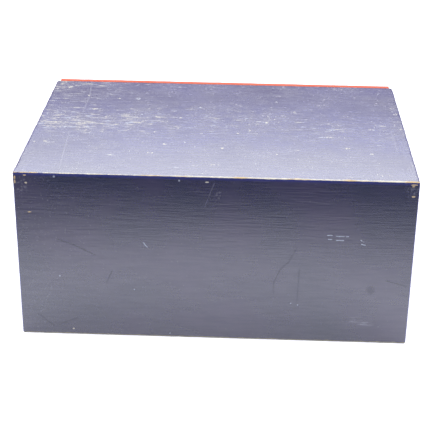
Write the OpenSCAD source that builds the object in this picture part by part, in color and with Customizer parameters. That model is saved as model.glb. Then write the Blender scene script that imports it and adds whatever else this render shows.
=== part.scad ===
// Thread display cabinet: a painted plywood carcass with three full-width drawers.
// Each drawer hangs on two hardwood runners, holds spools in rows, and has a red overlaid front.
// Frame: +Z up, drawers open towards -Y, left is -X, origin at the centre of the carcass's footprint.

/* [Carcass] */
// Width over the two side panels
cabinet_w = 440; // [400:1:520]
// Depth from the front edge of the panels to the outside of the back
cabinet_d = 305; // [260:1:400]
// Height from the table to the top face
cabinet_h = 202; // [190:1:250]
// Thickness of the side, top and bottom panels
panel_t = 12.7; // [10:0.1:16]
// Thickness of the back panel
back_t = 6.4; // [4:0.1:10]
// Radius of the eased front corner of each side panel
corner_r = 4; // [1:0.5:8]

/* [Drawer fronts] */
// Thickness of a drawer front
front_t = 9.5; // [7:0.1:14]
// Step from the outside of the carcass in to the end of a front
front_side_step = 3.5; // [1:0.5:8]
// Step from the underside of the carcass up to the lowest front
front_foot_step = 1.8; // [0.5:0.1:4]
// Step from the top of the carcass down to the highest front
front_top_step = 0.3; // [0:0.1:4]
// Gap between two fronts
front_gap = 2; // [1:0.1:4]

/* [Drawer boxes] */
// Thickness of the two sides of a drawer
box_side_t = 10; // [8:0.5:14]
// Thickness of the inner front of a drawer
box_front_t = 10; // [8:0.5:14]
// Thickness of the back of a drawer
box_back_t = 8; // [6:0.5:12]
// Thickness of the bottom of a drawer
box_bottom_t = 4; // [3:0.5:6]
// Height of the bottom above the lower edge of the drawer's sides
bottom_rise = 5; // [3:0.5:8]
// Depth of the groove that holds the bottom
bottom_groove = 4; // [2:0.5:5]
// Play of the bottom in its groove
groove_play = 0.1; // [0.05:0.05:0.3]
// Gap between a drawer's side and the side panel
side_gap = 1.2; // [0.8:0.1:2]
// Gap between a drawer and the top or bottom panel
box_end_gap = 2.5; // [1:0.1:5]
// How far the edge of a front stands past its drawer box
front_lip = 2.5; // [1:0.5:5]
// Gap behind a closed drawer
rear_gap = 8; // [3:0.5:20]

/* [Runners] */
// Height of a runner
runner_h = 10; // [8:0.5:14]
// Thickness of a runner, measured out from the side panel
runner_t = 5.5; // [4:0.1:7]
// Play of a runner in the groove of the drawer's side
runner_play = 0.3; // [0.1:0.05:0.6]
// Distance of a runner's front end behind the front edge of the panel
runner_setback = 12; // [6:0.5:30]

/* [Spool rows] */
// Rows of spools on each side of a drawer's middle
rows_per_half = 4; // [3:1:5]
// Thickness of a divider between two rows
divider_t = 3; // [2:0.5:5]
// Height of a divider
divider_h = 22; // [12:0.5:26]
// Depth of the slot that holds each end of a divider
divider_slot = 2; // [1:0.5:4]
// Play of a divider in its slot
slot_play = 0.15; // [0.05:0.05:0.4]

/* [Knobs] */
// Row that a knob stands in front of, counted from the drawer's middle
knob_row = 3; // [1:1:3]
// Widest diameter of a knob
knob_d = 26; // [20:0.5:34]
// Diameter of the foot of a knob
knob_foot_d = 17; // [14:0.5:20]
// Diameter of the waist of a knob
knob_waist_d = 12; // [9:0.5:14]
// Length of a knob from the front's face
knob_l = 23; // [20:0.5:32]
// Height of the straight rim of a knob's foot
knob_foot_h = 2; // [1:0.5:4]
// Height of the dome on a knob's head
knob_dome_h = 7.5; // [4:0.5:10]
// Diameter of a knob's screw
knob_screw_d = 4; // [3:0.5:5]
// Diameter of the head of a knob's screw
knob_screw_head_d = 8; // [6:0.5:10]
// Depth that the screw reaches into a knob
knob_screw_grip = 13; // [8:0.5:15]

/* [Fasteners] */
// Diameter of a carcass nail
nail_d = 1.6; // [1.2:0.1:2.2]
// Diameter of a carcass nail's head
nail_head_d = 3.2; // [2.4:0.1:4]
// Length of a nail that joins a side panel to the top or the bottom
side_nail_l = 30; // [20:1:40]
// Length of a nail that holds the back panel
back_nail_l = 22; // [14:1:28]
// Diameter of a drawer pin
pin_d = 1.2; // [1:0.1:1.6]
// Diameter of a drawer pin's head
pin_head_d = 2.2; // [1.8:0.1:2.8]
// Length of a drawer pin
pin_l = 22; // [16:1:30]
// Length of a pin that holds a drawer's bottom to its back
bottom_pin_l = 14; // [8:1:20]
// Diameter of a wood screw
screw_d = 3; // [2.5:0.1:3.5]
// Diameter of a wood screw's head
screw_head_d = 6; // [5:0.1:7]
// Depth that a runner's screw reaches into the side panel
runner_screw_grip = 8; // [5:0.5:9]
// Depth that a front's screw reaches into the front
front_screw_grip = 6; // [4:0.5:6.5]
// Distance of a front's screw below the upper edge of the drawer box
front_screw_drop = 6; // [4:0.5:10]
// Play of a fastener in its hole
fastener_play = 0.05; // [0.02:0.01:0.1]
// Distance of the first fastener from the end of a joint
fastener_inset = 32; // [28:1:45]

/* [Hidden] */
$fn = 48;
// Extra length of a cut, so that it passes clear through a face
over = 1;
nail_head_t = 0.8;
pin_head_t = 0.6;
// Points along each curve of a knob's outline, and how sharply its neck flares into the head
knob_curve_steps = 10;
knob_flare = 1.4;
nails_per_joint = 4;
nails_per_long_edge = 6;
nails_per_short_edge = 3;
screws_per_runner = 3;
pins_per_bottom = 4;

BLUE = [0.15, 0.16, 0.33];
RED = [0.75, 0.10, 0.07];
PLYWOOD = [0.80, 0.66, 0.46];
HARDWOOD = [0.70, 0.52, 0.33];
KNOB_WOOD = [0.72, 0.50, 0.28];
STEEL = [0.60, 0.60, 0.58];

LEFT = -1;
RIGHT = 1;
DRAWERS = ["bottom", "middle", "top"];
last_drawer = len(DRAWERS) - 1;

// Carcass
panel_front_y = -cabinet_d / 2;
panel_rear_y = cabinet_d / 2 - back_t;
inner_w = cabinet_w - 2 * panel_t;

// Drawer fronts, from the bottom upwards
front_w = cabinet_w - 2 * front_side_step;
front_h = (cabinet_h - front_foot_step - front_top_step - last_drawer * front_gap) / len(DRAWERS);
function front_z(i) = front_foot_step + i * (front_h + front_gap);
function front_mid_z(i) = front_z(i) + front_h / 2;

// Drawer boxes: the lowest clears the bottom panel, and all keep behind their own fronts
box_w = inner_w - 2 * side_gap;
box_inner_w = box_w - 2 * box_side_t;
box_low_z = panel_t + box_end_gap;
box_h = front_z(0) + front_h - front_lip - box_low_z;
box_rear_y = panel_rear_y - rear_gap;
box_pitch = (cabinet_h - 2 * box_low_z - box_h) / last_drawer;
function box_z(i) = box_low_z + i * box_pitch;
floor_z = bottom_rise + box_bottom_t;
well_front_y = panel_front_y + box_front_t;
well_rear_y = box_rear_y - box_back_t;

// Runners and their grooves
runner_z = (box_h - runner_h) / 2;
runner_front_y = panel_front_y + runner_setback;
runner_groove = runner_t - side_gap + runner_play;

// Spool rows
row_pitch = (box_inner_w + divider_t) / (2 * rows_per_half);
DIVIDER_XS = [for (i = [1 - rows_per_half : rows_per_half - 1]) i * row_pitch];
knob_x = (knob_row - 0.5) * row_pitch;
front_screw_x = (rows_per_half - 0.5) * row_pitch;
front_screw_z = box_h - front_screw_drop;

// Drawer pins: between the bottom's groove, the runner's groove and the top edge
low_pin_z = (floor_z + runner_z) / 2;
high_pin_z = (runner_z + runner_h + box_h) / 2;

// Names of the pieces
DRAWER_PIECES = ["front", "inner_front", "left_side", "right_side", "back", "bottom", "row_dividers",
    "left_knob", "right_knob", "knob_screws", "front_screws", "pins"];

// Evenly spaced values, with the first and last at the ends
function spread(from, to, count) = [for (i = [0 : count - 1]) from + (to - from) * i / (count - 1)];

// A board with its lowest corner at the given place
module board(place, size) {
    translate(place) cube(size);
}

// A flat-headed nail that points along +Z, with its head flush at zero
module nail(d, head_d, head_t, l, play = 0) {
    cylinder(d = d + 2 * play, h = l + play);
    translate([0, 0, play > 0 ? -over : 0])
        cylinder(d = head_d + 2 * play, h = head_t + play + (play > 0 ? over : 0));
}

// A countersunk screw that points along +Z, with its head flush at zero
module countersunk_screw(d, head_d, l, play = 0) {
    head_h = (head_d - d) / 2;
    cylinder(d = d + 2 * play, h = l + play);
    cylinder(d1 = head_d + 2 * play, d2 = d + 2 * play, h = head_h);
    if (play > 0) translate([0, 0, -over]) cylinder(d = head_d + 2 * play, h = over);
}

// Places that fasteners share with the holes they fill

module at_side_nails(side, z) {
    for (y = spread(panel_front_y + fastener_inset, panel_rear_y - fastener_inset, nails_per_joint))
        translate([side * cabinet_w / 2, y, z]) rotate([0, -side * 90, 0]) children();
}

module at_back_nails_in_sides() {
    for (x = [LEFT, RIGHT] * (cabinet_w - panel_t) / 2)
        for (z = spread(fastener_inset, cabinet_h - fastener_inset, nails_per_short_edge))
            translate([x, cabinet_d / 2, z]) rotate([90, 0, 0]) children();
}

module at_back_nails_in(z) {
    for (x = spread(-inner_w / 2 + fastener_inset, inner_w / 2 - fastener_inset, nails_per_long_edge))
        translate([x, cabinet_d / 2, z]) rotate([90, 0, 0]) children();
}

module at_runner_screws(i, side) {
    for (y = spread(runner_front_y + fastener_inset, panel_rear_y - fastener_inset, screws_per_runner))
        translate([side * (inner_w / 2 - runner_t), y, box_z(i) + runner_z + runner_h / 2])
            rotate([0, side * 90, 0]) children();
}

module at_pins(i, side, y) {
    for (z = [low_pin_z, high_pin_z])
        translate([side * box_w / 2, y, box_z(i) + z]) rotate([0, -side * 90, 0]) children();
}

module at_bottom_pins(i) {
    for (x = spread(-box_inner_w / 2 + fastener_inset, box_inner_w / 2 - fastener_inset, pins_per_bottom))
        translate([x, (well_rear_y + box_rear_y) / 2, box_z(i) + bottom_rise]) children();
}

module at_knob_screws(i) {
    for (x = [LEFT, RIGHT] * knob_x)
        translate([x, well_front_y, front_mid_z(i)]) rotate([90, 0, 0]) children();
}

module at_front_screws(i) {
    for (x = [LEFT, RIGHT] * front_screw_x)
        translate([x, well_front_y, box_z(i) + front_screw_z]) rotate([90, 0, 0]) children();
}

// Each fastener, or with play the hole for it

module side_nail(play = 0) nail(nail_d, nail_head_d, nail_head_t, side_nail_l, play);
module back_nail(play = 0) nail(nail_d, nail_head_d, nail_head_t, back_nail_l, play);
module pin(play = 0) nail(pin_d, pin_head_d, pin_head_t, pin_l, play);
module bottom_pin(play = 0) nail(pin_d, pin_head_d, pin_head_t, bottom_pin_l, play);
module runner_screw(play = 0) countersunk_screw(screw_d, screw_head_d, runner_t + runner_screw_grip, play);
module front_screw(play = 0) countersunk_screw(screw_d, screw_head_d, box_front_t + front_screw_grip, play);
module knob_screw(play = 0)
    countersunk_screw(knob_screw_d, knob_screw_head_d, box_front_t + front_t + knob_screw_grip, play);

// Carcass pieces

module side_panel(side) {
    color(BLUE) difference() {
        translate([side * cabinet_w / 2, panel_front_y, 0]) mirror([side == RIGHT ? 1 : 0, 0, 0])
            linear_extrude(cabinet_h) difference() {
                square([panel_t, panel_rear_y - panel_front_y]);
                difference() {
                    translate([-over, -over]) square(corner_r + over);
                    translate([corner_r, corner_r]) circle(corner_r);
                }
            }
        for (z = [panel_t / 2, cabinet_h - panel_t / 2]) at_side_nails(side, z) side_nail(fastener_play);
        at_back_nails_in_sides() back_nail(fastener_play);
        for (i = [0 : last_drawer]) at_runner_screws(i, side) runner_screw(fastener_play);
    }
}

// The top or the bottom panel, between the two side panels
module level_panel(z) {
    color(BLUE) difference() {
        board([-inner_w / 2, panel_front_y, z], [inner_w, panel_rear_y - panel_front_y, panel_t]);
        for (side = [LEFT, RIGHT]) at_side_nails(side, z + panel_t / 2) side_nail(fastener_play);
        at_back_nails_in(z + panel_t / 2) back_nail(fastener_play);
    }
}

module back_panel() {
    color(BLUE) difference() {
        board([-cabinet_w / 2, panel_rear_y, 0], [cabinet_w, back_t, cabinet_h]);
        at_back_nails_in_sides() back_nail(fastener_play);
        for (z = [panel_t / 2, cabinet_h - panel_t / 2]) at_back_nails_in(z) back_nail(fastener_play);
    }
}

module carcass_nails() {
    color(STEEL) for (side = [LEFT, RIGHT]) for (z = [panel_t / 2, cabinet_h - panel_t / 2])
        at_side_nails(side, z) side_nail();
}

module back_panel_nails() {
    color(STEEL) {
        at_back_nails_in_sides() back_nail();
        for (z = [panel_t / 2, cabinet_h - panel_t / 2]) at_back_nails_in(z) back_nail();
    }
}

module runner(i, side) {
    color(HARDWOOD) difference() {
        board([side == LEFT ? -inner_w / 2 : inner_w / 2 - runner_t, runner_front_y, box_z(i) + runner_z],
            [runner_t, panel_rear_y - runner_front_y, runner_h]);
        at_runner_screws(i, side) runner_screw(fastener_play);
    }
}

module runner_screws() {
    color(STEEL) for (i = [0 : last_drawer]) for (side = [LEFT, RIGHT])
        at_runner_screws(i, side) runner_screw();
}

// Drawer pieces

module drawer_front(i) {
    color(RED) difference() {
        board([-front_w / 2, panel_front_y - front_t, front_z(i)], [front_w, front_t, front_h]);
        at_knob_screws(i) knob_screw(fastener_play);
        at_front_screws(i) front_screw(fastener_play);
    }
}

// Slots that hold one end of every divider, cut into a board whose inner face is at y
module divider_slots(i, y, towards) {
    depth = divider_slot + slot_play;
    for (x = DIVIDER_XS)
        board([x - divider_t / 2 - slot_play, min(y, y + towards * depth), box_z(i) + floor_z],
            [divider_t + 2 * slot_play, depth, divider_h + slot_play]);
}

module drawer_inner_front(i) {
    color(PLYWOOD) difference() {
        board([-box_inner_w / 2, panel_front_y, box_z(i)], [box_inner_w, box_front_t, box_h]);
        board([-box_w / 2, well_front_y - bottom_groove, box_z(i) + bottom_rise],
            [box_w, bottom_groove + over, box_bottom_t + groove_play]);
        divider_slots(i, well_front_y, -1);
        at_knob_screws(i) knob_screw(fastener_play);
        at_front_screws(i) front_screw(fastener_play);
        for (side = [LEFT, RIGHT]) at_pins(i, side, panel_front_y + box_front_t / 2) pin(fastener_play);
    }
}

module drawer_side(i, side) {
    outer_x = side * box_w / 2;
    inner_x = outer_x - side * box_side_t;
    color(PLYWOOD) difference() {
        board([min(outer_x, inner_x), panel_front_y, box_z(i)],
            [box_side_t, box_rear_y - panel_front_y, box_h]);
        // Groove for the runner, open at the rear
        board([outer_x - (side == RIGHT ? runner_groove : over), runner_front_y - runner_play,
            box_z(i) + runner_z - runner_play],
            [runner_groove + over, cabinet_d, runner_h + 2 * runner_play]);
        // Groove for the bottom, open at the rear and stopped at the inner front
        board([inner_x - (side == LEFT ? bottom_groove : over), well_front_y - bottom_groove,
            box_z(i) + bottom_rise],
            [bottom_groove + over, cabinet_d, box_bottom_t + groove_play]);
        at_pins(i, side, panel_front_y + box_front_t / 2) pin(fastener_play);
        at_pins(i, side, box_rear_y - box_back_t / 2) pin(fastener_play);
    }
}

module drawer_back(i) {
    color(PLYWOOD) difference() {
        board([-box_inner_w / 2, well_rear_y, box_z(i) + floor_z],
            [box_inner_w, box_back_t, box_h - floor_z]);
        divider_slots(i, well_rear_y, 1);
        for (side = [LEFT, RIGHT]) at_pins(i, side, box_rear_y - box_back_t / 2) pin(fastener_play);
        at_bottom_pins(i) bottom_pin(fastener_play);
    }
}

module drawer_bottom(i) {
    reach = bottom_groove - groove_play;
    color(PLYWOOD) difference() {
        board([-box_inner_w / 2 - reach, well_front_y - reach, box_z(i) + bottom_rise],
            [box_inner_w + 2 * reach, box_rear_y - well_front_y + reach, box_bottom_t]);
        at_bottom_pins(i) bottom_pin(fastener_play);
    }
}

module drawer_row_dividers(i) {
    color(PLYWOOD) for (x = DIVIDER_XS)
        board([x - divider_t / 2, well_front_y - divider_slot, box_z(i) + floor_z],
            [divider_t, well_rear_y - well_front_y + 2 * divider_slot, divider_h]);
}

// Outline of a turned knob, as [radius, height]: a foot, a hollow waist and a domed head
function knob_outline() = let (
        foot_r = knob_foot_d / 2,
        waist_r = knob_waist_d / 2,
        head_r = knob_d / 2,
        rim_h = knob_l - knob_dome_h,
        neck_h = rim_h - knob_foot_h,
        steps = knob_curve_steps
    ) concat(
        [[0, 0], [foot_r, 0], [foot_r, knob_foot_h]],
        [for (s = [1 : steps]) let (a = 180 * s / steps) [
            a < 90
                ? foot_r + (waist_r - foot_r) * sin(a)
                : waist_r + (head_r - waist_r) * pow(1 - sin(a), knob_flare),
            knob_foot_h + neck_h * s / steps]],
        [for (s = [1 : steps]) let (a = 90 * s / steps) [
            head_r * cos(a),
            rim_h + knob_dome_h * sin(a)]]
    );

module drawer_knob(i, side) {
    color(KNOB_WOOD) difference() {
        translate([side * knob_x, panel_front_y - front_t, front_mid_z(i)]) rotate([90, 0, 0])
            rotate_extrude() polygon(knob_outline());
        at_knob_screws(i) knob_screw(fastener_play);
    }
}

module drawer_knob_screws(i) {
    color(STEEL) at_knob_screws(i) knob_screw();
}

module drawer_front_screws(i) {
    color(STEEL) at_front_screws(i) front_screw();
}

module drawer_pins(i) {
    color(STEEL) {
        for (side = [LEFT, RIGHT]) for (y = [panel_front_y + box_front_t / 2, box_rear_y - box_back_t / 2])
            at_pins(i, side, y) pin();
        at_bottom_pins(i) bottom_pin();
    }
}

side_panel(LEFT);  // left_side_panel
side_panel(RIGHT);  // right_side_panel
level_panel(cabinet_h - panel_t);  // top_panel
level_panel(0);  // bottom_panel
back_panel();
carcass_nails();
back_panel_nails();
runner_screws();
for (i = [0 : last_drawer]) {
    drawer = str(DRAWERS[i], "_drawer_");
    runner(i, LEFT);
    runner(i, RIGHT);
    drawer_front(i);
    drawer_inner_front(i);
    drawer_side(i, LEFT);
    drawer_side(i, RIGHT);
    drawer_back(i);
    drawer_bottom(i);
    drawer_row_dividers(i);
    drawer_knob(i, LEFT);
    drawer_knob(i, RIGHT);
    drawer_knob_screws(i);
    drawer_front_screws(i);
    drawer_pins(i);
}
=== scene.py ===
import math

import bmesh
import bpy
import numpy as np
from mathutils import Matrix, Vector, noise


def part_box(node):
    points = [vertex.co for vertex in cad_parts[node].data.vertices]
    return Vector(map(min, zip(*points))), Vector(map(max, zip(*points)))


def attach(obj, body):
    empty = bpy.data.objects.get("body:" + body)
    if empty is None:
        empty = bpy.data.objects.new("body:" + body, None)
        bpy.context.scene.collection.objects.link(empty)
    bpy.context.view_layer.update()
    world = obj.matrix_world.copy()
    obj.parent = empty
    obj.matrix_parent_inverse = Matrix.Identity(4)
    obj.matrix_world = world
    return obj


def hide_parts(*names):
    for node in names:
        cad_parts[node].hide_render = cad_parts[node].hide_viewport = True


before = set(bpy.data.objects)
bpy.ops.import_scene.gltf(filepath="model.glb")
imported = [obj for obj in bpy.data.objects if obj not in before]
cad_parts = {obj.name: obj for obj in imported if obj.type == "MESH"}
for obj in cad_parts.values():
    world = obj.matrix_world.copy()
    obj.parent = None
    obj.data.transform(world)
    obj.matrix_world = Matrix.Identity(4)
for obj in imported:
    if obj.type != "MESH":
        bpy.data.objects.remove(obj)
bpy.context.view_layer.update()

# Sizes, in metres, taken from the frame
MM = 0.001
X, Y, Z = 0, 1, 2
LOW, HIGH = -1, 1
DRAWERS = ("bottom", "middle", "top")
left_low, left_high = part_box("left_side_panel")
back_low, back_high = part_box("back_panel")
top_low, top_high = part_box("top_panel")
knob_low, knob_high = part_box("top_drawer_right_knob")
CASE_LOW = Vector((left_low.x, left_low.y, back_low.z))
CASE_HIGH = Vector((-left_low.x, back_high.y, back_high.z))
PANEL_T = top_high.z - top_low.z
KNOB_X = abs(knob_low.x + knob_high.x) / 2

# Thickness of the paint over the nail heads and the outer faces
PAINT = 0.12 * MM


# Shader maths

class Socket:
    """An output of a node. Arithmetic on it adds Math nodes to the same tree."""

    def __init__(self, nodes, output):
        self.nodes = nodes
        self.output = output

    def maths(self, operation, *values):
        return self.nodes.add("ShaderNodeMath", {"operation": operation}, dict(enumerate(values)))

    def __add__(self, other):
        return self.maths("ADD", self, other)

    def __radd__(self, other):
        return self.maths("ADD", other, self)

    def __sub__(self, other):
        return self.maths("SUBTRACT", self, other)

    def __rsub__(self, other):
        return self.maths("SUBTRACT", other, self)

    def __mul__(self, other):
        return self.maths("MULTIPLY", self, other)

    def __rmul__(self, other):
        return self.maths("MULTIPLY", other, self)

    def __abs__(self):
        return self.maths("ABSOLUTE", self)

    def least(self, other):
        return self.maths("MINIMUM", self, other)

    def most(self, other):
        return self.maths("MAXIMUM", self, other)

    def sine(self):
        return self.maths("SINE", self)

    def rise(self, start, end):
        """Smoothly from 0 at start to 1 at end. With start above end it falls instead."""
        sockets = {"Value": self, "From Min": start, "From Max": end}
        return self.nodes.add("ShaderNodeMapRange", {"interpolation_type": "SMOOTHSTEP"}, sockets)

    def part(self, name):
        """Another output of the same node."""
        return Socket(self.nodes, self.output.node.outputs[name])


class Nodes:
    """A node tree, filled through one method that adds any node."""

    def __init__(self, tree):
        tree.nodes.clear()
        self.tree = tree

    def add(self, kind, settings=None, sockets=None, output=0):
        node = self.tree.nodes.new(kind)
        for name, value in (settings or {}).items():
            setattr(node, name, value)
        for key, value in (sockets or {}).items():
            if isinstance(value, Socket):
                self.tree.links.new(value.output, node.inputs[key])
            else:
                node.inputs[key].default_value = value
        return Socket(self, node.outputs[output]) if len(node.outputs) else None

    def place(self):
        """Where a point lies in the part's own frame, in metres."""
        return self.add("ShaderNodeTexCoord", output="Object")

    def vector(self, operation, *values, output=0):
        return self.add("ShaderNodeVectorMath", {"operation": operation}, dict(enumerate(values)), output)

    def axes(self, vector):
        split = self.add("ShaderNodeSeparateXYZ", sockets={0: vector})
        return split, split.part("Y"), split.part("Z")

    def noise(self, place, size, detail=2.0, seed=0.0, output=0):
        """Noise from 0 to 1, with lumps of about the given size along X, Y and Z."""
        scaled = self.vector("MULTIPLY_ADD", place, [1 / s for s in size], [seed] * 3)
        sockets = {"Vector": scaled, "Scale": 1.0, "Detail": detail}
        return self.add("ShaderNodeTexNoise", None, sockets, output)

    def ragged(self, place, size, reach):
        """The place moved about by noise, so that marks laid there get ragged edges."""
        lumps = self.noise(place, [size] * 3, 3.0, 40.0, "Color")
        return self.vector("MULTIPLY_ADD", self.vector("SUBTRACT", lumps, [0.5] * 3), [reach] * 3, place)

    def mix(self, share, first, second):
        """From the first colour at share 0 to the second at share 1."""
        return self.add("ShaderNodeMix", {"data_type": "RGBA"}, {0: share, 6: first, 7: second}, 2)

    def line_gap(self, place, start, end):
        """Distance from a point to the straight line between two points."""
        along = Vector(end) - Vector(start)
        offset = self.vector("SUBTRACT", place, start)
        share = self.vector("DOT_PRODUCT", offset, along / along.length_squared, output="Value")
        share = share.most(0.0).least(1.0)
        foot = self.add("ShaderNodeVectorMath", {"operation": "SCALE"}, {0: along, "Scale": share})
        return self.vector("DISTANCE", offset, foot, output="Value")

    def blot_gap(self, place, centre, half):
        """0 at the centre of a blot and 1 on its rim, where half gives its reach along each axis."""
        scale = Vector([1 / h for h in half])
        offset = self.vector("MULTIPLY_ADD", place, scale, -Vector(centre) * scale)
        return self.vector("LENGTH", offset, output="Value")

    def surface(self, varying, height, relief, constants):
        """The finished surface. Relief is how many metres a height of 1 stands out."""
        normal = self.add("ShaderNodeBump", None, {"Strength": 1.0, "Distance": relief, "Height": height})
        shader = self.add("ShaderNodeBsdfPrincipled", None, {"Normal": normal, **varying, **constants})
        self.add("ShaderNodeOutputMaterial", None, {"Surface": shader})


def new_material(name):
    material = bpy.data.materials.new(name)
    material.use_nodes = True
    return material, Nodes(material.node_tree)


def smallest(values):
    least = values[0]
    for value in values[1:]:
        least = least.least(value)
    return least


def edge_gap(nodes, place, low, high):
    """Distance from a point on a box to the nearest edge of that box."""
    away = nodes.vector("ABSOLUTE", nodes.vector("SUBTRACT", place, (low + high) / 2))
    x, y, z = nodes.axes(nodes.vector("SUBTRACT", (high - low) / 2, away))
    return x.least(y).most(x.most(y).least(z))


# Painted finishes. Colours are in linear light.

NAVY = (0.016, 0.018, 0.235, 1)
NAVY_WORN = (0.026, 0.030, 0.305, 1)
NAVY_DEEP = (0.008, 0.009, 0.140, 1)
# Painted shade for the band under the top rear edge of the back and for the rounded edges
NAVY_SHADED_RIM = (0.018, 0.028, 0.340, 1)
NAVY_BRIGHT = (0.020, 0.034, 0.420, 1)
# Painted shade: the sides take a darker copy of the top's navy, and the back a duller one still, for upright
# faces that catch less light than the top
SIDE = (0.014, 0.017, 0.125, 1)
SIDE_WORN = (0.026, 0.026, 0.160, 1)
SIDE_DEEP = (0.008, 0.010, 0.090, 1)
SLATE = (0.018, 0.023, 0.095, 1)
SLATE_WORN = (0.046, 0.034, 0.125, 1)
SLATE_DEEP = (0.010, 0.013, 0.082, 1)
SLATE_RUB = (0.010, 0.012, 0.070, 1)
RUB = (0.37, 0.37, 0.47, 1)
RUB_PALE = (0.86, 0.81, 0.69, 1)
RUB_BLUE = (0.62, 0.72, 0.92, 1)
RAW = (0.86, 0.60, 0.27, 1)
RAW_PALE = (0.97, 0.91, 0.78, 1)
RAW_DIRTY = (0.42, 0.38, 0.24, 1)
# Each paint in its usual, worn, deep, dark-rubbed and pale-rubbed shade
NAVY_SHADES = (NAVY, NAVY_WORN, NAVY_DEEP, NAVY_DEEP, RUB_PALE)
SHADED_SIDE_COLOURS = (SIDE, SIDE_WORN, SIDE_DEEP, NAVY_DEEP, RUB_PALE)
SHADED_BACK_COLOURS = (SLATE, SLATE_WORN, SLATE_DEEP, SLATE_RUB, RUB_BLUE)
RED = (0.50, 0.017, 0.009, 1)
RED_WORN = (0.58, 0.034, 0.013, 1)
RED_DEEP = (0.22, 0.008, 0.006, 1)
RED_FADED_AND_LIT = (0.90, 0.125, 0.042, 1)
RED_RUB = (0.78, 0.27, 0.19, 1)

# Size of the wood's streaks under the paint, along X, Y and Z
TOP_GRAIN = (24 * MM, 3.4 * MM, 1.5 * MM)
SIDE_GRAIN = (1.5 * MM, 30 * MM, 2.2 * MM)
BACK_GRAIN = (24 * MM, 2.2 * MM, 1.8 * MM)

# Marks on the top panel, in millimetres along X and Y. A dash ends with its half length along X.
TOP_DASHES = (
    (156, -49, 9), (195, -16, 5), (196, -1, 8), (195, 15, 16), (138, -22, 5), (124, 2, 5),
    (122, 97, 6), (77, 88, 6), (2, 119, 7), (-47, -18, 5), (-89, -54, 4), (-99, -4, 5),
    (-152, -43, 5), (-131, 4, 8), (-179, 0, 5), (-124, 28, 12), (-148, 61, 5), (-175, 76, 4),
    (190, -135, 4), (168, 1, 20), (172, 14, 24),
)
TOP_SPOTS = (
    (130, -89), (94, -10), (113, -2), (200, 61), (170, -97), (26, -61),
    (17, -32), (49, -25), (50, 9), (76, 23), (62, 61), (39, 54), (-4, 70), (-36, 13), (-22, 22),
    (-55, -15), (-68, -88), (-67, 84), (-7, 1), (-199, -129),
)
# Half width of a dash along Y, and half width of a spot
DASH_HALF = 1.7
SPOT_HALF = 2.4
# Larger patches end with their half length along X and Y
TOP_PATCHES = ((199, -128, 3.5, 6), (107, -90, 3, 4))
TOP_SCRATCHES = (
    ((174, -149), (170, -99)), ((170, -99), (170, -36)), ((177, 29), (171, 137)),
    ((206, -8), (201, -33)), ((-203, 4), (-204, 66)),
)
# Marks on the top edges of the side panels, as dashes
SIDE_TOP_DASHES = (
    (211, -142, 5), (215, -121, 3), (214, 0, 2), (212, 64, 2), (-217, -4, 2), (-217, -29, 3),
    (-214, -54, 4), (-211, -63, 3), (-212, -74, 3),
)
# Marks on the back, in millimetres along X and Z. Scratches and rubs run between two points, a chip ends
# with its half length and half height, and a dot with its radius.
BACK_SCRATCHES = (
    ((79, 121), (74, 114)), ((-124, 136), (-129, 136)), ((-134, 135), (-143, 135)),
    ((-145, 135), (-147, 135)), ((-125, 131), (-129, 131)), ((-134, 130), (-142, 130)),
    ((-161, 131), (-164, 129)), ((-162, 126), (-166, 125)),
)
BACK_FAINT = (
    ((184, 63), (184, 59)), ((186, 53), (190, 47)), ((191, 44), (192, 40)), ((1, 195), (11, 167)),
)
BACK_RUBS = (
    ((-90, 117), (-83, 102)), ((-83, 102), (-73, 91)), ((-73, 91), (-67, 75)), ((-67, 75), (-67, 62)),
    ((-95, 92), (-94, 53)), ((174, 122), (157, 116)), ((157, 116), (134, 104)), ((121, 70), (115, 84)),
    ((201, 26), (184, 11)), ((174, 14), (156, 22)), ((-193, 81), (-215, 75)),
)
BACK_CHIPS = (
    (218, 196, 1.2, 2.2), (218, 191, 1.0, 2.6), (207, 199, 2.0, 0.8), (206, 190, 1.6, 1.2),
    (204, 155, 2.2, 0.8), (-214, 199, 4.0, 0.9), (-213, 197, 1.6, 0.8), (-214, 185, 2.2, 1.0),
    (9, 196, 2.2, 0.8), (161, 7.5, 1.4, 1.2),
)
BACK_DOTS = (
    (175, 198, 1.4), (174, 76, 1.4), (90, 61, 1.1), (-87, 49, 1.1), (-95, 47, 1.3), (50, 5, 1.3),
    (39, 197, 1.3),
)
# Scuffed patches along the top of the back, pale smears and a dark smudge
BACK_SCUFFS = ((212, 187, 9, 13), (-4, 181, 5, 6), (-212, 192, 10, 9))
BACK_SMEARS = ((-160, 30, 15, 5), (-172, 25, 11, 4))
BACK_SMUDGE = (-176, 69, 6)


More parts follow.
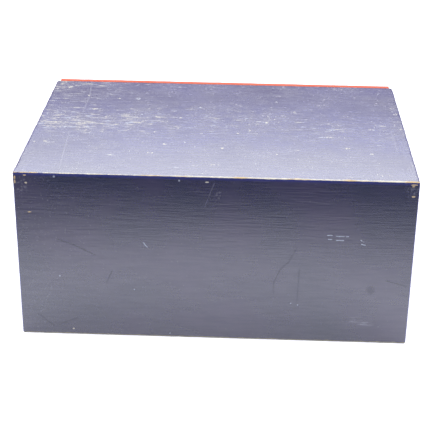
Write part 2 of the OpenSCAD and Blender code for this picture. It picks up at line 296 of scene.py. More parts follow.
def top_wear(nodes, place, dashes, spots, patches, scratches):
    """How far a surface that faces up is rubbed pale, from 0 to 1."""
    x, y, z = nodes.axes(place)
    ragged = nodes.ragged(place, 3 * MM, 4 * MM)
    flat = nodes.vector("MULTIPLY", ragged, (1, 1, 0))
    marks = [(a, b, half, DASH_HALF) for a, b, half in dashes]
    marks += [(a, b, SPOT_HALF, SPOT_HALF) for a, b in spots]
    marks += list(patches)
    blots = [nodes.blot_gap(flat, (a * MM, b * MM, 0), (c * MM, d * MM, 1)) for a, b, c, d in marks]
    breaks = nodes.noise(place, (2.2 * MM, 2.8 * MM, 1), 2.0, 61.0)
    placed = smallest(blots).rise(1.35, 0.30) * (0.25 + 0.75 * breaks.rise(0.36, 0.62))

    # Things slid across have scuffed a band over the middle, most at one end
    band = abs(y + 8 * MM).rise(75 * MM, 5 * MM) * (0.45 + 0.55 * x.rise(-0.02, 0.17))
    band = band.most(0.8 * x.rise(0.06, 0.20) * y.rise(-0.03, -0.12))
    clouds = nodes.noise(place, (40 * MM, 60 * MM, 1), 3.0, 3.0)
    streaks = nodes.noise(place, (17 * MM, 3.4 * MM, 1), 4.0, 7.0) + 0.15 * band
    specks = nodes.noise(ragged, (2.6 * MM, 5 * MM, 1), 2.0, 21.0) + 0.20 * (clouds - 0.5) + 0.06 * band
    flecks = nodes.noise(place, (5 * MM, 4.5 * MM, 1), 2.0, 33.0)
    brushed = nodes.noise(place, (30 * MM, 4.5 * MM, 1), 2.0, 71.0)
    rubbed = (0.80 * placed).most(0.55 * streaks.rise(0.60, 0.82)).most(0.45 * specks.rise(0.60, 0.82))
    rubbed = rubbed + 0.18 * flecks.rise(0.46, 0.74) + 0.12 * brushed.rise(0.35, 0.65)
    rubbed = rubbed + 0.08 * clouds.rise(0.40, 0.70) - 0.03
    if scratches:
        level = nodes.vector("MULTIPLY", place, (1, 1, 0))
        gaps = []
        for (a, b), (c, d) in scratches:
            gaps.append(nodes.line_gap(level, (a * MM, b * MM, 0), (c * MM, d * MM, 0)))
        rubbed = rubbed.most(0.34 * smallest(gaps).rise(1.3 * MM, 0.3 * MM))
    facing = z.rise(CASE_HIGH.z - 0.9 * MM, CASE_HIGH.z - 0.3 * MM)
    return facing * rubbed


def upright_wear(nodes, place):
    """Faint specks that any upright face has."""
    specks = nodes.noise(place, (2.2 * MM, 2.2 * MM, 2.2 * MM), 2.0, 51.0)
    patches = nodes.noise(place, (50 * MM, 50 * MM, 50 * MM), 3.0, 57.0)
    return 0.25 * (specks + 0.25 * (patches - 0.5)).rise(0.70, 0.84)


def side_wear(nodes, place):
    """How far the sides are rubbed pale, in scuffs along the grain and in specks, most near the edges."""
    ragged = nodes.ragged(place, 3 * MM, 4 * MM)
    clouds = nodes.noise(place, (60 * MM, 70 * MM, 40 * MM), 3.0, 83.0)
    streaks = nodes.noise(place, (17 * MM, 20 * MM, 2.6 * MM), 4.0, 87.0)
    specks = nodes.noise(ragged, (4 * MM, 4 * MM, 2.6 * MM), 2.0, 91.0)
    near_edge = edge_gap(nodes, place, CASE_LOW, CASE_HIGH).rise(30 * MM, 2 * MM)
    worn = 0.20 * (clouds - 0.5) + 0.06 * near_edge
    rubbed = (0.40 * (streaks + worn).rise(0.62, 0.80)).most(0.40 * (specks + worn).rise(0.62, 0.80))
    return rubbed.most(upright_wear(nodes, place))


def back_wear(nodes, place):
    """On the back: how far it is rubbed pale, chipped to raw wood, and rubbed dark."""
    x, y, _ = nodes.axes(place)
    ragged = nodes.ragged(place, 2 * MM, 1.2 * MM)
    flat = nodes.vector("MULTIPLY", ragged, (1, 0, 1))
    breaks = nodes.noise(place, (3 * MM, 3 * MM, 3 * MM), 2.0, 5.0)

    def lines(pairs):
        gaps = []
        for (a, b), (c, d) in pairs:
            gaps.append(nodes.line_gap(flat, (a * MM, 0, b * MM), (c * MM, 0, d * MM)))
        return smallest(gaps)

    def blots(rows):
        gaps = []
        for a, b, c, d in rows:
            gaps.append(nodes.blot_gap(flat, (a * MM, 0, b * MM), (c * MM, 1, d * MM)))
        return smallest(gaps)

    facing = y.rise(CASE_HIGH.y - 0.9 * MM, CASE_HIGH.y - 0.3 * MM)
    scratches = lines(BACK_SCRATCHES).rise(0.8 * MM, 0.3 * MM) * breaks.rise(0.25, 0.5)
    streaks = nodes.noise(place, (18 * MM, 5 * MM, 1.4 * MM), 2.0, 63.0)
    smears = blots(BACK_SMEARS).rise(1.2, 0.2) * streaks.rise(0.42, 0.66)
    faint = lines(BACK_FAINT).rise(0.9 * MM, 0.2 * MM) * breaks.rise(0.25, 0.55)
    dots = blots([(a, b, r, r) for a, b, r in BACK_DOTS]).rise(1.2, 0.4)
    scuffs = blots(BACK_SCUFFS).rise(1.1, 0.4) * breaks.rise(0.48, 0.66)
    pale = (0.85 * scratches).most(0.20 * faint).most(0.55 * smears).most(0.65 * dots).most(0.28 * scuffs)
    specks = nodes.noise(place, (2.6 * MM, 2.6 * MM, 2.2 * MM), 2.0, 95.0) + 0.10 * x.rise(0.06, 0.21)
    pale = pale.most(upright_wear(nodes, place)).most(0.22 * specks.rise(0.70, 0.84))
    chips = 0.8 * blots(BACK_CHIPS).rise(1.15, 0.6)
    smudge_x, smudge_z, reach = BACK_SMUDGE
    smudge = blots([(smudge_x, smudge_z, reach, reach)]).rise(1.1, 0.5) * breaks.rise(0.3, 0.5)
    rubs = lines(BACK_RUBS).rise(1.4 * MM, 0.4 * MM) * (0.5 + 0.5 * breaks.rise(0.3, 0.6))
    return facing * pale, facing * chips, facing * (0.85 * rubs).most(0.8 * smudge)


def navy_paint(name, shades, grain_size, relief, dulled, lustre, wear):
    """Worn navy paint on the carcass. The wood's streaks have the size of the grain, stand out by relief and
    are dulled by a share of their gloss. Lustre is 1 on the glossiest paint. Wear gives how far a place is
    rubbed pale, chipped and rubbed dark."""
    usual, worn, deep, dark, palest = shades
    material, nodes = new_material(name)
    place = nodes.place()
    x, y, z = nodes.axes(place)
    grain = nodes.noise(place, grain_size, 3.0)
    cloud = nodes.noise(place, (80 * MM, 80 * MM, 80 * MM), 3.0, 11.0)
    fine = nodes.noise(place, (1.1 * MM, 1.1 * MM, 1.1 * MM), 2.0, 17.0)
    nicks = nodes.noise(place, (9 * MM, 9 * MM, 9 * MM), 3.0, 29.0)
    tones = nodes.noise(place, (26 * MM, 26 * MM, 26 * MM), 2.0, 37.0)
    hues = nodes.noise(place, (12 * MM, 12 * MM, 8 * MM), 1.0, 43.0)
    rubbed, chips, rubs = wear(nodes, place)

    # The rear edge of the top is bare along most of its length, and the corners are chipped
    rear_top = (0.45 * (CASE_HIGH.y - y)).most(1.6 * (CASE_HIGH.z - z)) + 0.45 * MM * x.rise(0.02, 0.12)
    bared = (rear_top - 2.2 * MM * (nicks - 0.5) - 1.2 * MM * (fine - 0.5)).rise(1.00 * MM, 0.60 * MM)
    gap = edge_gap(nodes, place, CASE_LOW, CASE_HIGH)
    upper = z.rise(CASE_HIGH.z - 40 * MM, CASE_HIGH.z - 5 * MM)
    bite = 3.0 * MM * (nicks - 0.63 + 0.09 * upper) + 0.8 * MM * (fine - 0.5)
    raw = bared.most((gap - bite).rise(0.30 * MM, 0.05 * MM)).most(chips)
    rear_foot = (CASE_HIGH.y - y).most(z - CASE_LOW.z)
    foot = (rear_foot - 3.0 * MM * (nicks - 0.5)).rise(2.30 * MM, 1.40 * MM)

    colour = nodes.mix(cloud.rise(0.30, 0.72), usual, worn)
    colour = nodes.mix(0.20 * grain.rise(0.60, 0.35), colour, deep)
    # The paint of the top is brightest half-way from front to back
    bright = abs(y).rise(120 * MM, 30 * MM) * (0.12 + 0.22 * hues.rise(0.60, 0.38))
    bright = bright * z.rise(CASE_HIGH.z - 4 * MM, CASE_HIGH.z - 1 * MM)
    colour = nodes.mix(bright, colour, NAVY_BRIGHT)
    # Painted shade: a purer blue in a band under the top rear edge of the back, where the paint mirrors
    # little light, and along the rounded edges
    rim = (CASE_HIGH.z - z).rise(5 * MM, 0.5 * MM) * y.rise(CASE_HIGH.y - 1.0 * MM, CASE_HIGH.y - 0.4 * MM)
    colour = nodes.mix(0.8 * rim.most(gap.rise(1.4 * MM, 0.3 * MM)), colour, NAVY_SHADED_RIM)
    colour = nodes.mix(rubs, colour, dark)
    pale = nodes.mix(hues.rise(0.34, 0.50), RUB_BLUE, palest)
    colour = nodes.mix(rubbed, colour, nodes.mix(rubbed.rise(0.30, 0.65), RUB, pale))
    colour = nodes.mix(0.8 * foot, colour, RAW_DIRTY)
    wood = nodes.mix((tones + 0.15 * abs(x).rise(0.15, 0.22)).rise(0.66, 0.50), RAW, RAW_PALE)
    colour = nodes.mix(raw, colour, wood)

    matt = rubbed.most(raw).most(foot)
    gloss = lustre - dulled * (0.6 * grain.rise(0.62, 0.38) + 0.4 * fine.rise(0.65, 0.35))
    roughness = 0.12 + 0.06 * cloud + 0.08 * (fine - 0.5) + 0.30 * matt
    height = grain + 0.25 * fine - 0.8 * raw - 0.3 * rubbed
    varying = {"Base Color": colour, "Roughness": roughness, "Coat Weight": gloss * (1.0 - raw.most(rubs))}
    constants = {"IOR": 1.62, "Specular IOR Level": lustre, "Coat Roughness": 0.12}
    nodes.surface(varying, height, relief, constants)
    return material


def navy_top():
    def wear(nodes, place):
        return top_wear(nodes, place, TOP_DASHES, TOP_SPOTS, TOP_PATCHES, TOP_SCRATCHES), 0.0, 0.0
    return navy_paint("navy_paint_top", NAVY_SHADES, TOP_GRAIN,
                      relief=0.05 * MM, dulled=0.15, lustre=1.0, wear=wear)


def navy_side_top():
    def wear(nodes, place):
        return top_wear(nodes, place, SIDE_TOP_DASHES, (), (), ()), 0.0, 0.0
    return navy_paint("navy_paint_side_top", NAVY_SHADES, SIDE_GRAIN,
                      relief=0.10 * MM, dulled=0.1, lustre=1.0, wear=wear)


def navy_side():
    def wear(nodes, place):
        return side_wear(nodes, place), 0.0, 0.0
    # The sides take the darker navy, painted shade for faces that catch less light than the top
    return navy_paint("navy_paint_side", SHADED_SIDE_COLOURS, SIDE_GRAIN,
                      relief=0.12 * MM, dulled=0.2, lustre=0.35, wear=wear)


def navy_back():
    # The back takes the duller navy, painted shade for the face turned from the light
    return navy_paint("navy_paint_back", SHADED_BACK_COLOURS, BACK_GRAIN,
                      relief=0.12 * MM, dulled=0.52, lustre=1.0, wear=back_wear)


def red_paint(name, low, high, fading_and_light):
    """Worn red paint on a drawer front that fills the box between low and high.
    The fading share is how far its upper edge is painted paler: bleached by light, and a painted highlight
    where light falls on the edge that faces up."""
    material, nodes = new_material(name)
    place = nodes.place()
    x, y, z = nodes.axes(place)
    grain = nodes.noise(place, (70 * MM, 1.4 * MM, 1.4 * MM), 3.0)
    cloud = nodes.noise(place, (60 * MM, 60 * MM, 60 * MM), 3.0, 4.0)
    fine = nodes.noise(place, (1.2 * MM, 1.2 * MM, 1.2 * MM), 2.0, 9.0)
    nicks = nodes.noise(place, (8 * MM, 8 * MM, 8 * MM), 3.0, 31.0)
    streaks = nodes.noise(place, (22 * MM, 5 * MM, 1.4 * MM), 3.0, 13.0)
    tones = nodes.noise(place, (26 * MM, 26 * MM, 26 * MM), 2.0, 37.0)

    gap = edge_gap(nodes, place, low, high)
    raw = (gap - 3.0 * MM * (nicks - 0.60) - 1.2 * MM * (fine - 0.5)).rise(0.55 * MM, 0.15 * MM)
    scuffed = 0.4 * (streaks + 0.25 * (cloud - 0.5)).rise(0.70, 0.84)
    # Hands darken the paint round the knobs
    height_of_knobs = (low.z + high.z) / 2
    hands = []
    for side in (LOW, HIGH):
        hands.append(nodes.blot_gap(place, (side * KNOB_X, low.y, height_of_knobs), (45 * MM, 1, 26 * MM)))
    grime = smallest(hands).rise(1.1, 0.25) * cloud.rise(0.35, 0.65)

    colour = nodes.mix(cloud.rise(0.32, 0.70), RED, RED_WORN)
    colour = nodes.mix(0.35 * grain.rise(0.55, 0.33), colour, RED_DEEP)
    # Painted highlight: the edge that faces up, most on the top drawer, is painted paler where light falls
    # on it, and partly as bleached paint
    colour = nodes.mix(fading_and_light * z.rise(high.z - 1.5 * MM, high.z - 0.3 * MM), colour, RED_FADED_AND_LIT)
    colour = nodes.mix(0.45 * grime, colour, RED_DEEP)
    colour = nodes.mix(scuffed, colour, RED_RUB)
    colour = nodes.mix(raw, colour, nodes.mix(tones.rise(0.60, 0.44), RAW, RAW_PALE))
    roughness = 0.38 + 0.10 * cloud + 0.10 * (fine - 0.5) + 0.25 * raw.most(scuffed) - 0.08 * grime
    height = grain + 0.25 * fine - 0.8 * raw - 0.3 * scuffed
    varying = {"Base Color": colour, "Roughness": roughness}
    nodes.surface(varying, height, 0.06 * MM, {"IOR": 1.45, "Specular IOR Level": 0.35})
    return material


# Wood and steel

PINE, PINE_DARK = (0.66, 0.46, 0.25, 1), (0.47, 0.28, 0.12, 1)
PLY, PLY_DARK = (0.62, 0.43, 0.24, 1), (0.46, 0.28, 0.13, 1)
OAK, OAK_DARK = (0.40, 0.24, 0.11, 1), (0.24, 0.13, 0.05, 1)
BEECH, BEECH_DARK = (0.42, 0.20, 0.07, 1), (0.24, 0.09, 0.028, 1)


def bare_wood(name, along, light, dark, ring=16 * MM, dullness=0.55, coat=0.0, rings=70.0):
    """Planed wood whose grain runs along one axis. Ring is the width of its broad bands, rings how often
    light and dark change in them, and coat how much varnish or wax it has."""
    material, nodes = new_material(name)
    place = nodes.place()

    def streaks(length, width):
        size = [width] * 3
        size[along] = length
        return size

    bands = nodes.noise(place, streaks(340 * MM, ring), 1.0, 2.0)
    bands = 0.5 + 0.5 * (rings * bands).sine()
    fibres = nodes.noise(place, streaks(45 * MM, 0.5 * MM), 3.0, 6.0)
    pores = nodes.noise(place, streaks(7 * MM, 0.35 * MM), 1.0, 8.0).rise(0.63, 0.72)
    patina = nodes.noise(place, (70 * MM, 70 * MM, 70 * MM), 3.0, 15.0)
    colour = nodes.mix(0.45 * bands + 0.55 * fibres.rise(0.35, 0.65), light, dark)
    deep = [0.45 * channel for channel in dark[:3]] + [1]
    colour = nodes.mix(0.45 * pores, colour, deep)
    colour = nodes.mix(0.35 * patina.rise(0.42, 0.75), colour, deep)
    roughness = dullness + 0.12 * (fibres - 0.5) + 0.10 * pores - 0.08 * patina
    height = 0.5 * fibres + 0.25 * bands - 0.6 * pores
    constants = {"IOR": 1.5, "Coat Weight": coat, "Coat Roughness": 0.22}
    nodes.surface({"Base Color": colour, "Roughness": roughness}, height, 0.06 * MM, constants)
    return material


def dull_steel(name):
    material, nodes = new_material(name)
    place = nodes.place()
    smear = nodes.noise(place, (3 * MM, 3 * MM, 3 * MM), 3.0)
    brushed = nodes.noise(place, (4 * MM, 0.3 * MM, 0.3 * MM), 2.0, 5.0)
    rust = nodes.noise(place, (2 * MM, 2 * MM, 2 * MM), 3.0, 12.0).rise(0.60, 0.72)
    colour = nodes.mix(smear.rise(0.3, 0.7), (0.42, 0.41, 0.39, 1), (0.62, 0.61, 0.58, 1))
    colour = nodes.mix(0.6 * rust, colour, (0.16, 0.07, 0.03, 1))
    varying = {"Base Color": colour, "Roughness": 0.34 + 0.18 * smear + 0.3 * rust}
    nodes.surface(varying, brushed + rust, 0.02 * MM, {"Metallic": 0.9})
    return material


# Meshes

# Distances of the grid lines from an edge of a board, and their spacing further in
EDGE_LINES = (0, 0.25 * MM, 0.6 * MM, 1.2 * MM, 2.2 * MM, 4 * MM)
GRID_STEP = 4 * MM


def grid_lines(low, high):
    near = [gap for gap in EDGE_LINES if gap < 0.45 * (high - low)]
    inner_low, inner_high = low + near[-1], high - near[-1]
    count = max(1, round((inner_high - inner_low) / GRID_STEP))
    middle = np.linspace(inner_low, inner_high, count + 1)
    return [low + gap for gap in near[:-1]] + list(middle) + [high - gap for gap in reversed(near[:-1])]


def grid_box(low, high):
    """Points and faces of a closed box whose faces are grids."""
    lines = [grid_lines(low[axis], high[axis]) for axis in (X, Y, Z)]
    points, faces, known = [], [], {}

    def point(key):
        if key not in known:
            known[key] = len(points)
            points.append([lines[axis][key[axis]] for axis in (X, Y, Z)])
        return known[key]

    for axis in (X, Y, Z):
        u, v = (axis + 1) % 3, (axis + 2) % 3
        for end in (0, len(lines[axis]) - 1):
            for i in range(len(lines[u]) - 1):
                for j in range(len(lines[v]) - 1):
                    ring = []
                    for du, dv in ((0, 0), (1, 0), (1, 1), (0, 1)):
                        key = [0, 0, 0]
                        key[axis], key[u], key[v] = end, i + du, j + dv
                        ring.append(point(tuple(key)))
                    faces.append(ring if end else ring[::-1])
    return np.array(points), faces


def ease_edges(points, low, high, radii, usual):
    """Rounds the edges of a grid box, the small ones unevenly, as hands and years do.
    Radii gives an edge's radius, or a rule for it, by its two faces: {((X, LOW), (Y, LOW)): 4 * MM}."""
    lumps = np.array([noise.noise(Vector(p) / (11 * MM)) for p in points])
    nicks = np.array([noise.noise(Vector(p) / (3 * MM)) for p in points])
    wear = 1 + 0.55 * lumps + 0.35 * nicks
    for a, b in ((X, Y), (X, Z), (Y, Z)):
        side_a = np.where(points[:, a] < (low[a] + high[a]) / 2, LOW, HIGH)
        side_b = np.where(points[:, b] < (low[b] + high[b]) / 2, LOW, HIGH)
        radius = np.full(len(points), usual)
        for ((edge_a, s), (edge_b, t)), rule in radii.items():
            if (edge_a, edge_b) == (a, b):
                here = (side_a == s) & (side_b == t)
                radius[here] = rule(points[here]) if callable(rule) else rule
        radius = radius * np.where(radius < 2 * MM, wear, 1)
        depth_a = np.where(side_a == LOW, points[:, a] - low[a], high[a] - points[:, a])
        depth_b = np.where(side_b == LOW, points[:, b] - low[b], high[b] - points[:, b])
        off_a, off_b = depth_a - radius, depth_b - radius
        near = (off_a < 0) & (off_b < 0)
        scale = np.maximum(abs(off_a), abs(off_b)) / np.maximum(np.hypot(off_a, off_b), 1e-9)
        depth_a = np.where(near, radius + off_a * scale, depth_a)
        depth_b = np.where(near, radius + off_b * scale, depth_b)
        points[:, a] = np.where(side_a == LOW, low[a] + depth_a, high[a] - depth_a)
        points[:, b] = np.where(side_b == LOW, low[b] + depth_b, high[b] - depth_b)
    return points


def new_piece(name, points, faces, materials):
    mesh = bpy.data.meshes.new(name)
    mesh.from_pydata([tuple(p) for p in points], [], faces)
    mesh.shade_smooth()
    mesh.set_sharp_from_angle(angle=math.radians(50))
    for material in materials:
        mesh.materials.append(material)
    piece = bpy.data.objects.new(name, mesh)
    bpy.context.scene.collection.objects.link(piece)
    return piece


def worn_board(name, low, high, radii, usual, materials, is_bare):
    """A board with eased edges. Faces that is_bare picks, by middle and normal, take the second finish."""
    points, faces = grid_box(low, high)
    points = ease_edges(points, low, high, radii, usual)
    piece = new_piece(name, points, faces, materials)
    for face in piece.data.polygons:
        face.material_index = 1 if is_bare(face.center, face.normal) else 0
    return piece


def stand_in(piece, node, body):
    """The piece stands for a node and moves with its body."""
    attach(piece, body)
    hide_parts(node)


def lathe(profile, count):
    """Points and faces of a form turned about Z. The profile runs from axis to axis as (radius, height)."""
    points, faces, rings = [], [], []
    for radius, height in profile:
        start = len(points)
        if radius == 0:
            points.append(Vector((0, 0, height)))
        else:
            turns = [2 * math.pi * k / count for k in range(count)]
            points += [Vector((radius * math.cos(t), radius * math.sin(t), height)) for t in turns]
        rings.append(range(start, len(points)))
    for lower, upper in zip(rings, rings[1:]):
        for k in range(count):
            after = (k + 1) % count
            if len(lower) == 1:
                faces.append((lower[0], upper[after], upper[k]))
            elif len(upper) == 1:
                faces.append((lower[k], lower[after], upper[0]))
            else:
                faces.append((lower[k], lower[after], upper[after], upper[k]))
    return points, faces


# Carcass

JOINT = 0.04 * MM
ARRIS = 0.9 * MM
REAR_ARRIS = 0.5 * MM
TOP_CORNER = 1.5 * MM
FOOT_CORNER = 2.4 * MM
FRONT_CORNER = 4 * MM

ply_level = bare_wood("bare_plywood_level_grain", X, PLY, PLY_DARK, ring=30 * MM, dullness=0.6)
ply_deep = bare_wood("bare_plywood_deep_grain", Y, PLY, PLY_DARK, ring=30 * MM, dullness=0.6)
steel = dull_steel("dull_steel")


def is_inside(middle, normal):
    """A face of a carcass panel that looks into the drawer space."""
    if middle.y < CASE_LOW.y + 3 * MM:
        return False
    if abs(normal.x) > 0.9:
        return middle.x * normal.x < 0 and CASE_LOW.z + PANEL_T < middle.z < CASE_HIGH.z - PANEL_T
    if abs(normal.z) > 0.9:
        return (middle.z - CASE_HIGH.z / 2) * normal.z < 0
    return normal.y < -0.9


def top_corner(points):
    """Radius along the outer top edges of the sides. The one at low X is worn most at its front end."""
    front = np.clip((CASE_LOW.y + 14 * MM - points[:, Y]) / (14 * MM), 0, 1)
    return TOP_CORNER + 1.5 * MM * front ** 2 * (points[:, X] < 0)


def finish_edges(piece, axis, finish):
    """Gives another finish to the faces of a board that look up, or along X away from the middle."""
    piece.data.materials.append(finish)
    for face in piece.data.polygons:
        outward = face.normal[axis] * (1 if axis == Z else math.copysign(1, face.center[axis]))
        if outward > 0.7:
            face.material_index = len(piece.data.materials) - 1


def side_panel(name, side, finish, top_finish):
    low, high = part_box(name)
    outer, inner = (X, side), (X, -side)
    (low if side == LOW else high).x += side * PAINT
    high.z += PAINT
    radii = {
        (outer, (Y, LOW)): FRONT_CORNER,
        (outer, (Z, HIGH)): top_corner,
        (outer, (Z, LOW)): FOOT_CORNER,
    }
    for joint in ((outer, (Y, HIGH)), (inner, (Y, HIGH)), (inner, (Z, LOW)), (inner, (Z, HIGH))):
        radii[joint] = JOINT
    radii[((Y, HIGH), (Z, HIGH))] = JOINT
    radii[((Y, HIGH), (Z, LOW))] = JOINT
    piece = worn_board(f"painted_{name}", low, high, radii, ARRIS, [finish, ply_deep], is_inside)
    finish_edges(piece, Z, top_finish)
    stand_in(piece, name, "carcass")


def level_panel(name, outer, finish):
    low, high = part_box(name)
    if outer == HIGH:
        high.z += PAINT
    radii = {((X, s), (axis, t)): JOINT for s in (LOW, HIGH) for axis in (Y, Z) for t in (LOW, HIGH)}
    radii.update({((Y, HIGH), (Z, t)): JOINT for t in (LOW, HIGH)})
    piece = worn_board(f"painted_{name}", low, high, radii, ARRIS, [finish, ply_level], is_inside)
    stand_in(piece, name, "carcass")


def back_panel(finish, side_finish, top_finish):
    low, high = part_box("back_panel")
    low.x -= PAINT
    high += Vector((PAINT, PAINT, PAINT))
    radii = {}
    for side in (LOW, HIGH):
        radii[((X, side), (Y, LOW))] = JOINT
        radii[((Y, LOW), (Z, side))] = JOINT
        radii[((X, side), (Z, HIGH))] = TOP_CORNER
        radii[((X, side), (Z, LOW))] = FOOT_CORNER
    radii[((Y, HIGH), (Z, HIGH))] = REAR_ARRIS
    piece = worn_board("painted_back_panel", low, high, radii, ARRIS, [finish, ply_level], is_inside)
    finish_edges(piece, X, side_finish)
    finish_edges(piece, Z, top_finish)
    stand_in(piece, "back_panel", "carcass")


navy_on_top, navy_on_side_tops, navy_on_sides = navy_top(), navy_side_top(), navy_side()
side_panel("left_side_panel", LOW, navy_on_sides, navy_on_side_tops)
side_panel("right_side_panel", HIGH, navy_on_sides, navy_on_side_tops)
level_panel("top_panel", HIGH, navy_on_top)
level_panel("bottom_panel", LOW, navy_on_sides)
back_panel(navy_back(), navy_on_sides, navy_on_top)


# Fasteners

def solids(node):
    """The points of each separate solid in a node."""
    shape = bmesh.new()
    shape.from_mesh(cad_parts[node].data)
    bmesh.ops.remove_doubles(shape, verts=shape.verts, dist=0.001 * MM)
    for vert in shape.verts:
        vert.tag = False
    groups = []
    for start in shape.verts:
        if start.tag:
            continue
        start.tag = True
        group, queue = [], [start]
        while queue:
            vert = queue.pop()
            group.append(vert.co.copy())
            for edge in vert.link_edges:
                other = edge.other_vert(vert)
                if not other.tag:
                    other.tag = True
                    queue.append(other)
        groups.append(group)
    shape.free()
    return groups


def half_moon(radius, depth, slot, flip):
    """One of the two flat parts of a screw's head beside its slot, tapering with the countersink."""
    points, faces = [], []
    steps = 14
    for r, height in ((radius, 0), (radius - depth, depth)):
        start = math.asin(slot / 2 / r)
        for k in range(steps + 1):
            angle = start + (math.pi - 2 * start) * k / steps
            points.append(Vector((flip * r * math.cos(angle), flip * r * math.sin(angle), height)))
    count = steps + 1
    faces.append(list(range(count))[::-1])
    faces.append(list(range(count, 2 * count)))
    for k in range(count):
        after = (k + 1) % count
        faces.append((k, after, count + after, count + k))
    return points, faces


def slotted_screw(head_r, shank_r, length, turn):
    """A countersunk screw along +Z with its head at zero, and its slot turned by an angle."""
    depth, slot = 0.22 * head_r, 0.28 * head_r
    countersink = [(0, depth), (head_r - depth, depth), (shank_r, head_r - shank_r)]
    point = [(shank_r, length - 2 * shank_r), (0.3 * shank_r, length), (0, length)]
    body = countersink + point
    points, faces = lathe(body, 28)
    for flip in (1, -1):
        moon, moon_faces = half_moon(head_r, depth, slot, flip)
        faces += [[len(points) + index for index in face] for face in moon_faces]
        points += moon
    turned = Matrix.Rotation(turn, 3, "Z")
    return [turned @ point for point in points], faces


def slotted_screws(node, body):
    """Screws with real slots in the place of a node's plain ones."""
    points, faces = [], []
    for number, group in enumerate(solids(node)):
        low = Vector([min(p[axis] for p in group) for axis in (X, Y, Z)])
        high = Vector([max(p[axis] for p in group) for axis in (X, Y, Z)])
        middle = (low + high) / 2
        along = max((X, Y, Z), key=lambda axis: high[axis] - low[axis])
        across = (along + 1) % 3

        def rim(end):
            return max(abs(p[across] - middle[across]) for p in group if abs(p[along] - end) < 0.01 * MM)

        low_rim, high_rim = rim(low[along]), rim(high[along])
        into = Vector((0, 0, 0))
        into[along] = 1 if low_rim > high_rim else -1
        start = middle.copy()
        start[along] = low[along] if low_rim > high_rim else high[along]
        length = high[along] - low[along]
        head_r, shank_r = max(low_rim, high_rim), min(low_rim, high_rim)
        screw, screw_faces = slotted_screw(head_r, shank_r, length, 0.7 + 2.4 * number)
        turn = Vector((0, 0, 1)).rotation_difference(into).to_matrix()
        faces += [[len(points) + index for index in face] for face in screw_faces]
        points += [start + turn @ point for point in screw]
    piece = new_piece(f"slotted_{node}", points, faces, [steel])
    stand_in(piece, node, body)


def plain_finish(node, material):
    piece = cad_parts[node]
    piece.data.materials.clear()
    piece.data.materials.append(material)
    return piece


slotted_screws("runner_screws", "carcass")
for nails in ("carcass_nails", "back_panel_nails"):
    plain_finish(nails, steel)


# Drawers

FRONT_ARRIS = 1.3 * MM

pine_level = bare_wood("planed_pine_level_grain", X, PINE, PINE_DARK)
pine_deep = bare_wood("planed_pine_deep_grain", Y, PINE, PINE_DARK)
waxed_oak = bare_wood("waxed_runner_wood", Y, OAK, OAK_DARK, ring=10 * MM, dullness=0.42, coat=0.15)
varnished_beech = bare_wood("varnished_knob_wood", Y, BEECH, BEECH_DARK,
                            ring=7 * MM, dullness=0.30, coat=0.3, rings=40.0)


def drawer_front(drawer):
    name = f"{drawer}_drawer_front"
    low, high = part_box(name)

    def is_bare(middle, normal):
        return normal.y > 0.9

    # The top drawer's upper edge takes the full painted highlight, the lower ones, shaded in their gaps,
    # little
    finish = red_paint(f"red_paint_{drawer}", low, high, 1.0 if drawer == "top" else 0.2)
    piece = worn_board(f"painted_{name}", low, high, {}, FRONT_ARRIS, [finish, ply_level], is_bare)
    stand_in(piece, name, f"{drawer}_drawer")


def knob_profile(head, length):
    """Outline of a knob from its foot to its crown, as (radius, height)."""
    foot, waist = 8.5 * MM, 6 * MM
    foot_h, rim_h = 2 * MM, length - 7.5 * MM
    steps = 14
    outline = [(0, 0), (foot - 0.3 * MM, 0), (foot, 0.4 * MM)]
    outline += [(foot, foot_h - 0.4 * MM), (foot - 0.4 * MM, foot_h)]
    for step in range(1, steps):
        angle = math.pi * step / steps
        if angle < math.pi / 2:
            radius = foot + (waist - foot) * math.sin(angle)
        else:
            radius = waist + (head - waist) * (1 - math.sin(angle)) ** 1.4
        outline.append((radius, foot_h + (rim_h - foot_h) * step / steps))
    for step in range(steps):
        angle = math.pi / 2 * step / steps
        outline.append((head * math.cos(angle), rim_h + (length - rim_h) * math.sin(angle)))
    return outline + [(0, length)]


def drawer_knob(drawer, side):
    name = f"{drawer}_drawer_{side}_knob"
    low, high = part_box(name)
    foot = Vector(((low.x + high.x) / 2, high.y, (low.z + high.z) / 2))
    points, faces = lathe(knob_profile((high.x - low.x) / 2, high.y - low.y), 56)
    outward = Matrix.Rotation(math.pi / 2, 3, "X")
    placed = [foot + outward @ point for point in points]
    piece = new_piece(f"turned_{name}", placed, faces, [varnished_beech])
    stand_in(piece, name, f"{drawer}_drawer")


def soften(node, material, width):
    """Gives a plain CAD piece its finish and takes the sharpness off its edges."""
    piece = plain_finish(node, material)
    weld = piece.modifiers.new("join_corners", "WELD")
    weld.merge_threshold = 0.001 * MM
    bevel = piece.modifiers.new("eased_edges", "BEVEL")
    bevel.width = width
    bevel.segments = 2
    bevel.limit_method = "ANGLE"
    bevel.angle_limit = math.radians(50)
    bevel.use_clamp_overlap = False


for drawer in DRAWERS:
    drawer_front(drawer)
    for side in ("left", "right"):
        drawer_knob(drawer, side)
        soften(f"{drawer}_drawer_{side}_side", pine_deep, 0.4 * MM)
        soften(f"{drawer}_{side}_runner", waxed_oak, 0.4 * MM)
    soften(f"{drawer}_drawer_inner_front", pine_level, 0.4 * MM)
    soften(f"{drawer}_drawer_back", pine_level, 0.4 * MM)
    soften(f"{drawer}_drawer_bottom", ply_level, 0.3 * MM)
    soften(f"{drawer}_drawer_row_dividers", pine_deep, 0.4 * MM)
    slotted_screws(f"{drawer}_drawer_knob_screws", f"{drawer}_drawer")
    slotted_screws(f"{drawer}_drawer_front_screws", f"{drawer}_drawer")
    plain_finish(f"{drawer}_drawer_pins", steel)


# Stage, light and camera

TABLE_REACH = 6.0
TABLE_WHITE = (0.815, 0.82, 0.90, 1)
TABLE_GLOW = 0.92
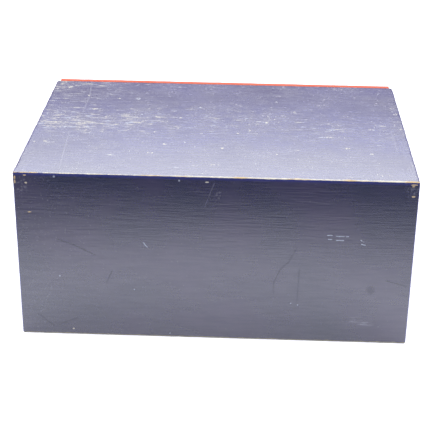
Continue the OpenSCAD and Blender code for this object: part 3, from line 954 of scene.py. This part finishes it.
# A dark card with a soft curved edge that lies on the table behind the cabinet
CARD_DARK = (0.088, 0.096, 0.094, 1)
CARD_WIDE = 1.2
CARD_NEAR, CARD_START, CARD_FULL, CARD_FADE, CARD_FAR = 0.15, 0.292, 0.60, 1.00, 1.40
CARD_LIFT = 1 * MM
# A dim room that is a little lighter on the drawer side, one broad light there and one overhead
ROOM, ROOM_EXTRA = 0.20, 0.145
BROAD_LIGHT, OVERHEAD_LIGHT = 2.52, 1.25
# Heights above the horizon at which the broad light starts and is full, as sines
BROAD_START, BROAD_FULL = math.sin(math.radians(18.95)), math.sin(math.radians(26.3))
LOW_TINT = (1, 0.88, 0.93, 1)
HIGH_TINT = (0.985, 1.0, 0.98, 1)
# The photo's camera, in millimetres and degrees
LENS, SENSOR = 96.94, 36
EYE = Vector((-37.8, 1294.9, 701.9))
HEADING, LOOK_DOWN, ROLL = 181.888, 25.486, 0.72


def pale_table():
    half = TABLE_REACH
    corners = [(-half, -half, 0), (half, -half, 0), (half, half, 0), (-half, half, 0)]
    material, nodes = new_material("pale_table")
    path = nodes.add("ShaderNodeLightPath")
    seen = path.most(path.part("Is Glossy Ray")).most(path.part("Is Transmission Ray"))
    diffuse = nodes.add("ShaderNodeBsdfDiffuse", None, {"Color": TABLE_WHITE})
    glow = nodes.add("ShaderNodeEmission", None, {"Color": TABLE_WHITE, "Strength": TABLE_GLOW * seen})
    both = nodes.add("ShaderNodeAddShader", None, {0: diffuse, 1: glow})
    nodes.add("ShaderNodeOutputMaterial", None, {"Surface": both})
    new_piece("pale_table", corners, [(0, 1, 2, 3)], [material])


def dark_card():
    """A studio card that only shows in gloss, where it takes the glare off the upper half of the back."""
    ends = ((-CARD_WIDE, CARD_NEAR), (CARD_WIDE, CARD_NEAR), (CARD_WIDE, CARD_FAR), (-CARD_WIDE, CARD_FAR))
    corners = [(x, y, CARD_LIFT) for x, y in ends]
    material, nodes = new_material("dark_card")
    x, y, _ = nodes.axes(nodes.place())
    cover = y.rise(CARD_START - 1.2 * x * x, CARD_FULL + 0.6 * x * x)
    # A faint second edge close to the cabinet, painted shade that the back mirrors where the table lies in
    # the cabinet's shadow
    cover = cover.most(0.13 * y.rise(0.26, 0.16) * abs(x).rise(0.35, 0.10))
    cover = cover * abs(x).rise(CARD_WIDE, 0.5) * y.rise(CARD_FAR, CARD_FADE)
    clear = nodes.add("ShaderNodeBsdfTransparent")
    dark = nodes.add("ShaderNodeBsdfDiffuse", None, {"Color": CARD_DARK})
    both = nodes.add("ShaderNodeMixShader", None, {0: cover, 1: clear, 2: dark})
    nodes.add("ShaderNodeOutputMaterial", None, {"Surface": both})
    card = new_piece("dark_card", corners, [(0, 1, 2, 3)], [material])
    card.visible_camera = False
    card.visible_diffuse = False
    card.visible_shadow = False


def soft_light():
    """A dim room with one broad soft light on the drawer side, and a weaker one overhead."""
    world = bpy.data.worlds.new("soft_light")
    bpy.context.scene.world = world
    world.use_nodes = True
    nodes = Nodes(world.node_tree)
    _, y, z = nodes.axes(nodes.add("ShaderNodeTexCoord", output="Generated"))
    broad = (0 - y).rise(0.35, 0.75) * z.rise(BROAD_START, BROAD_FULL) * z.rise(0.80, 0.60)
    strength = ROOM + ROOM_EXTRA * y.rise(0.5, -0.3)
    strength = strength + BROAD_LIGHT * broad + OVERHEAD_LIGHT * z.rise(0.5, 0.95)
    colour = nodes.mix(z.rise(0.315, 0.385), LOW_TINT, HIGH_TINT)
    shader = nodes.add("ShaderNodeBackground", None, {"Color": colour, "Strength": strength})
    nodes.add("ShaderNodeOutputWorld", None, {"Surface": shader})


def photo_camera():
    camera = bpy.data.cameras.new("photo_camera")
    camera.sensor_width = SENSOR
    camera.lens = LENS
    holder = bpy.data.objects.new("photo_camera", camera)
    bpy.context.scene.collection.objects.link(holder)
    heading, tilt, roll = math.radians(HEADING), math.radians(90 - LOOK_DOWN), math.radians(ROLL)
    turn = Matrix.Rotation(heading, 4, "Z") @ Matrix.Rotation(tilt, 4, "X") @ Matrix.Rotation(roll, 4, "Z")
    holder.matrix_world = Matrix.Translation(EYE * MM) @ turn
    bpy.context.scene.camera = holder


pale_table()
dark_card()
soft_light()
photo_camera()
bpy.context.scene.view_settings.view_transform = "Standard"
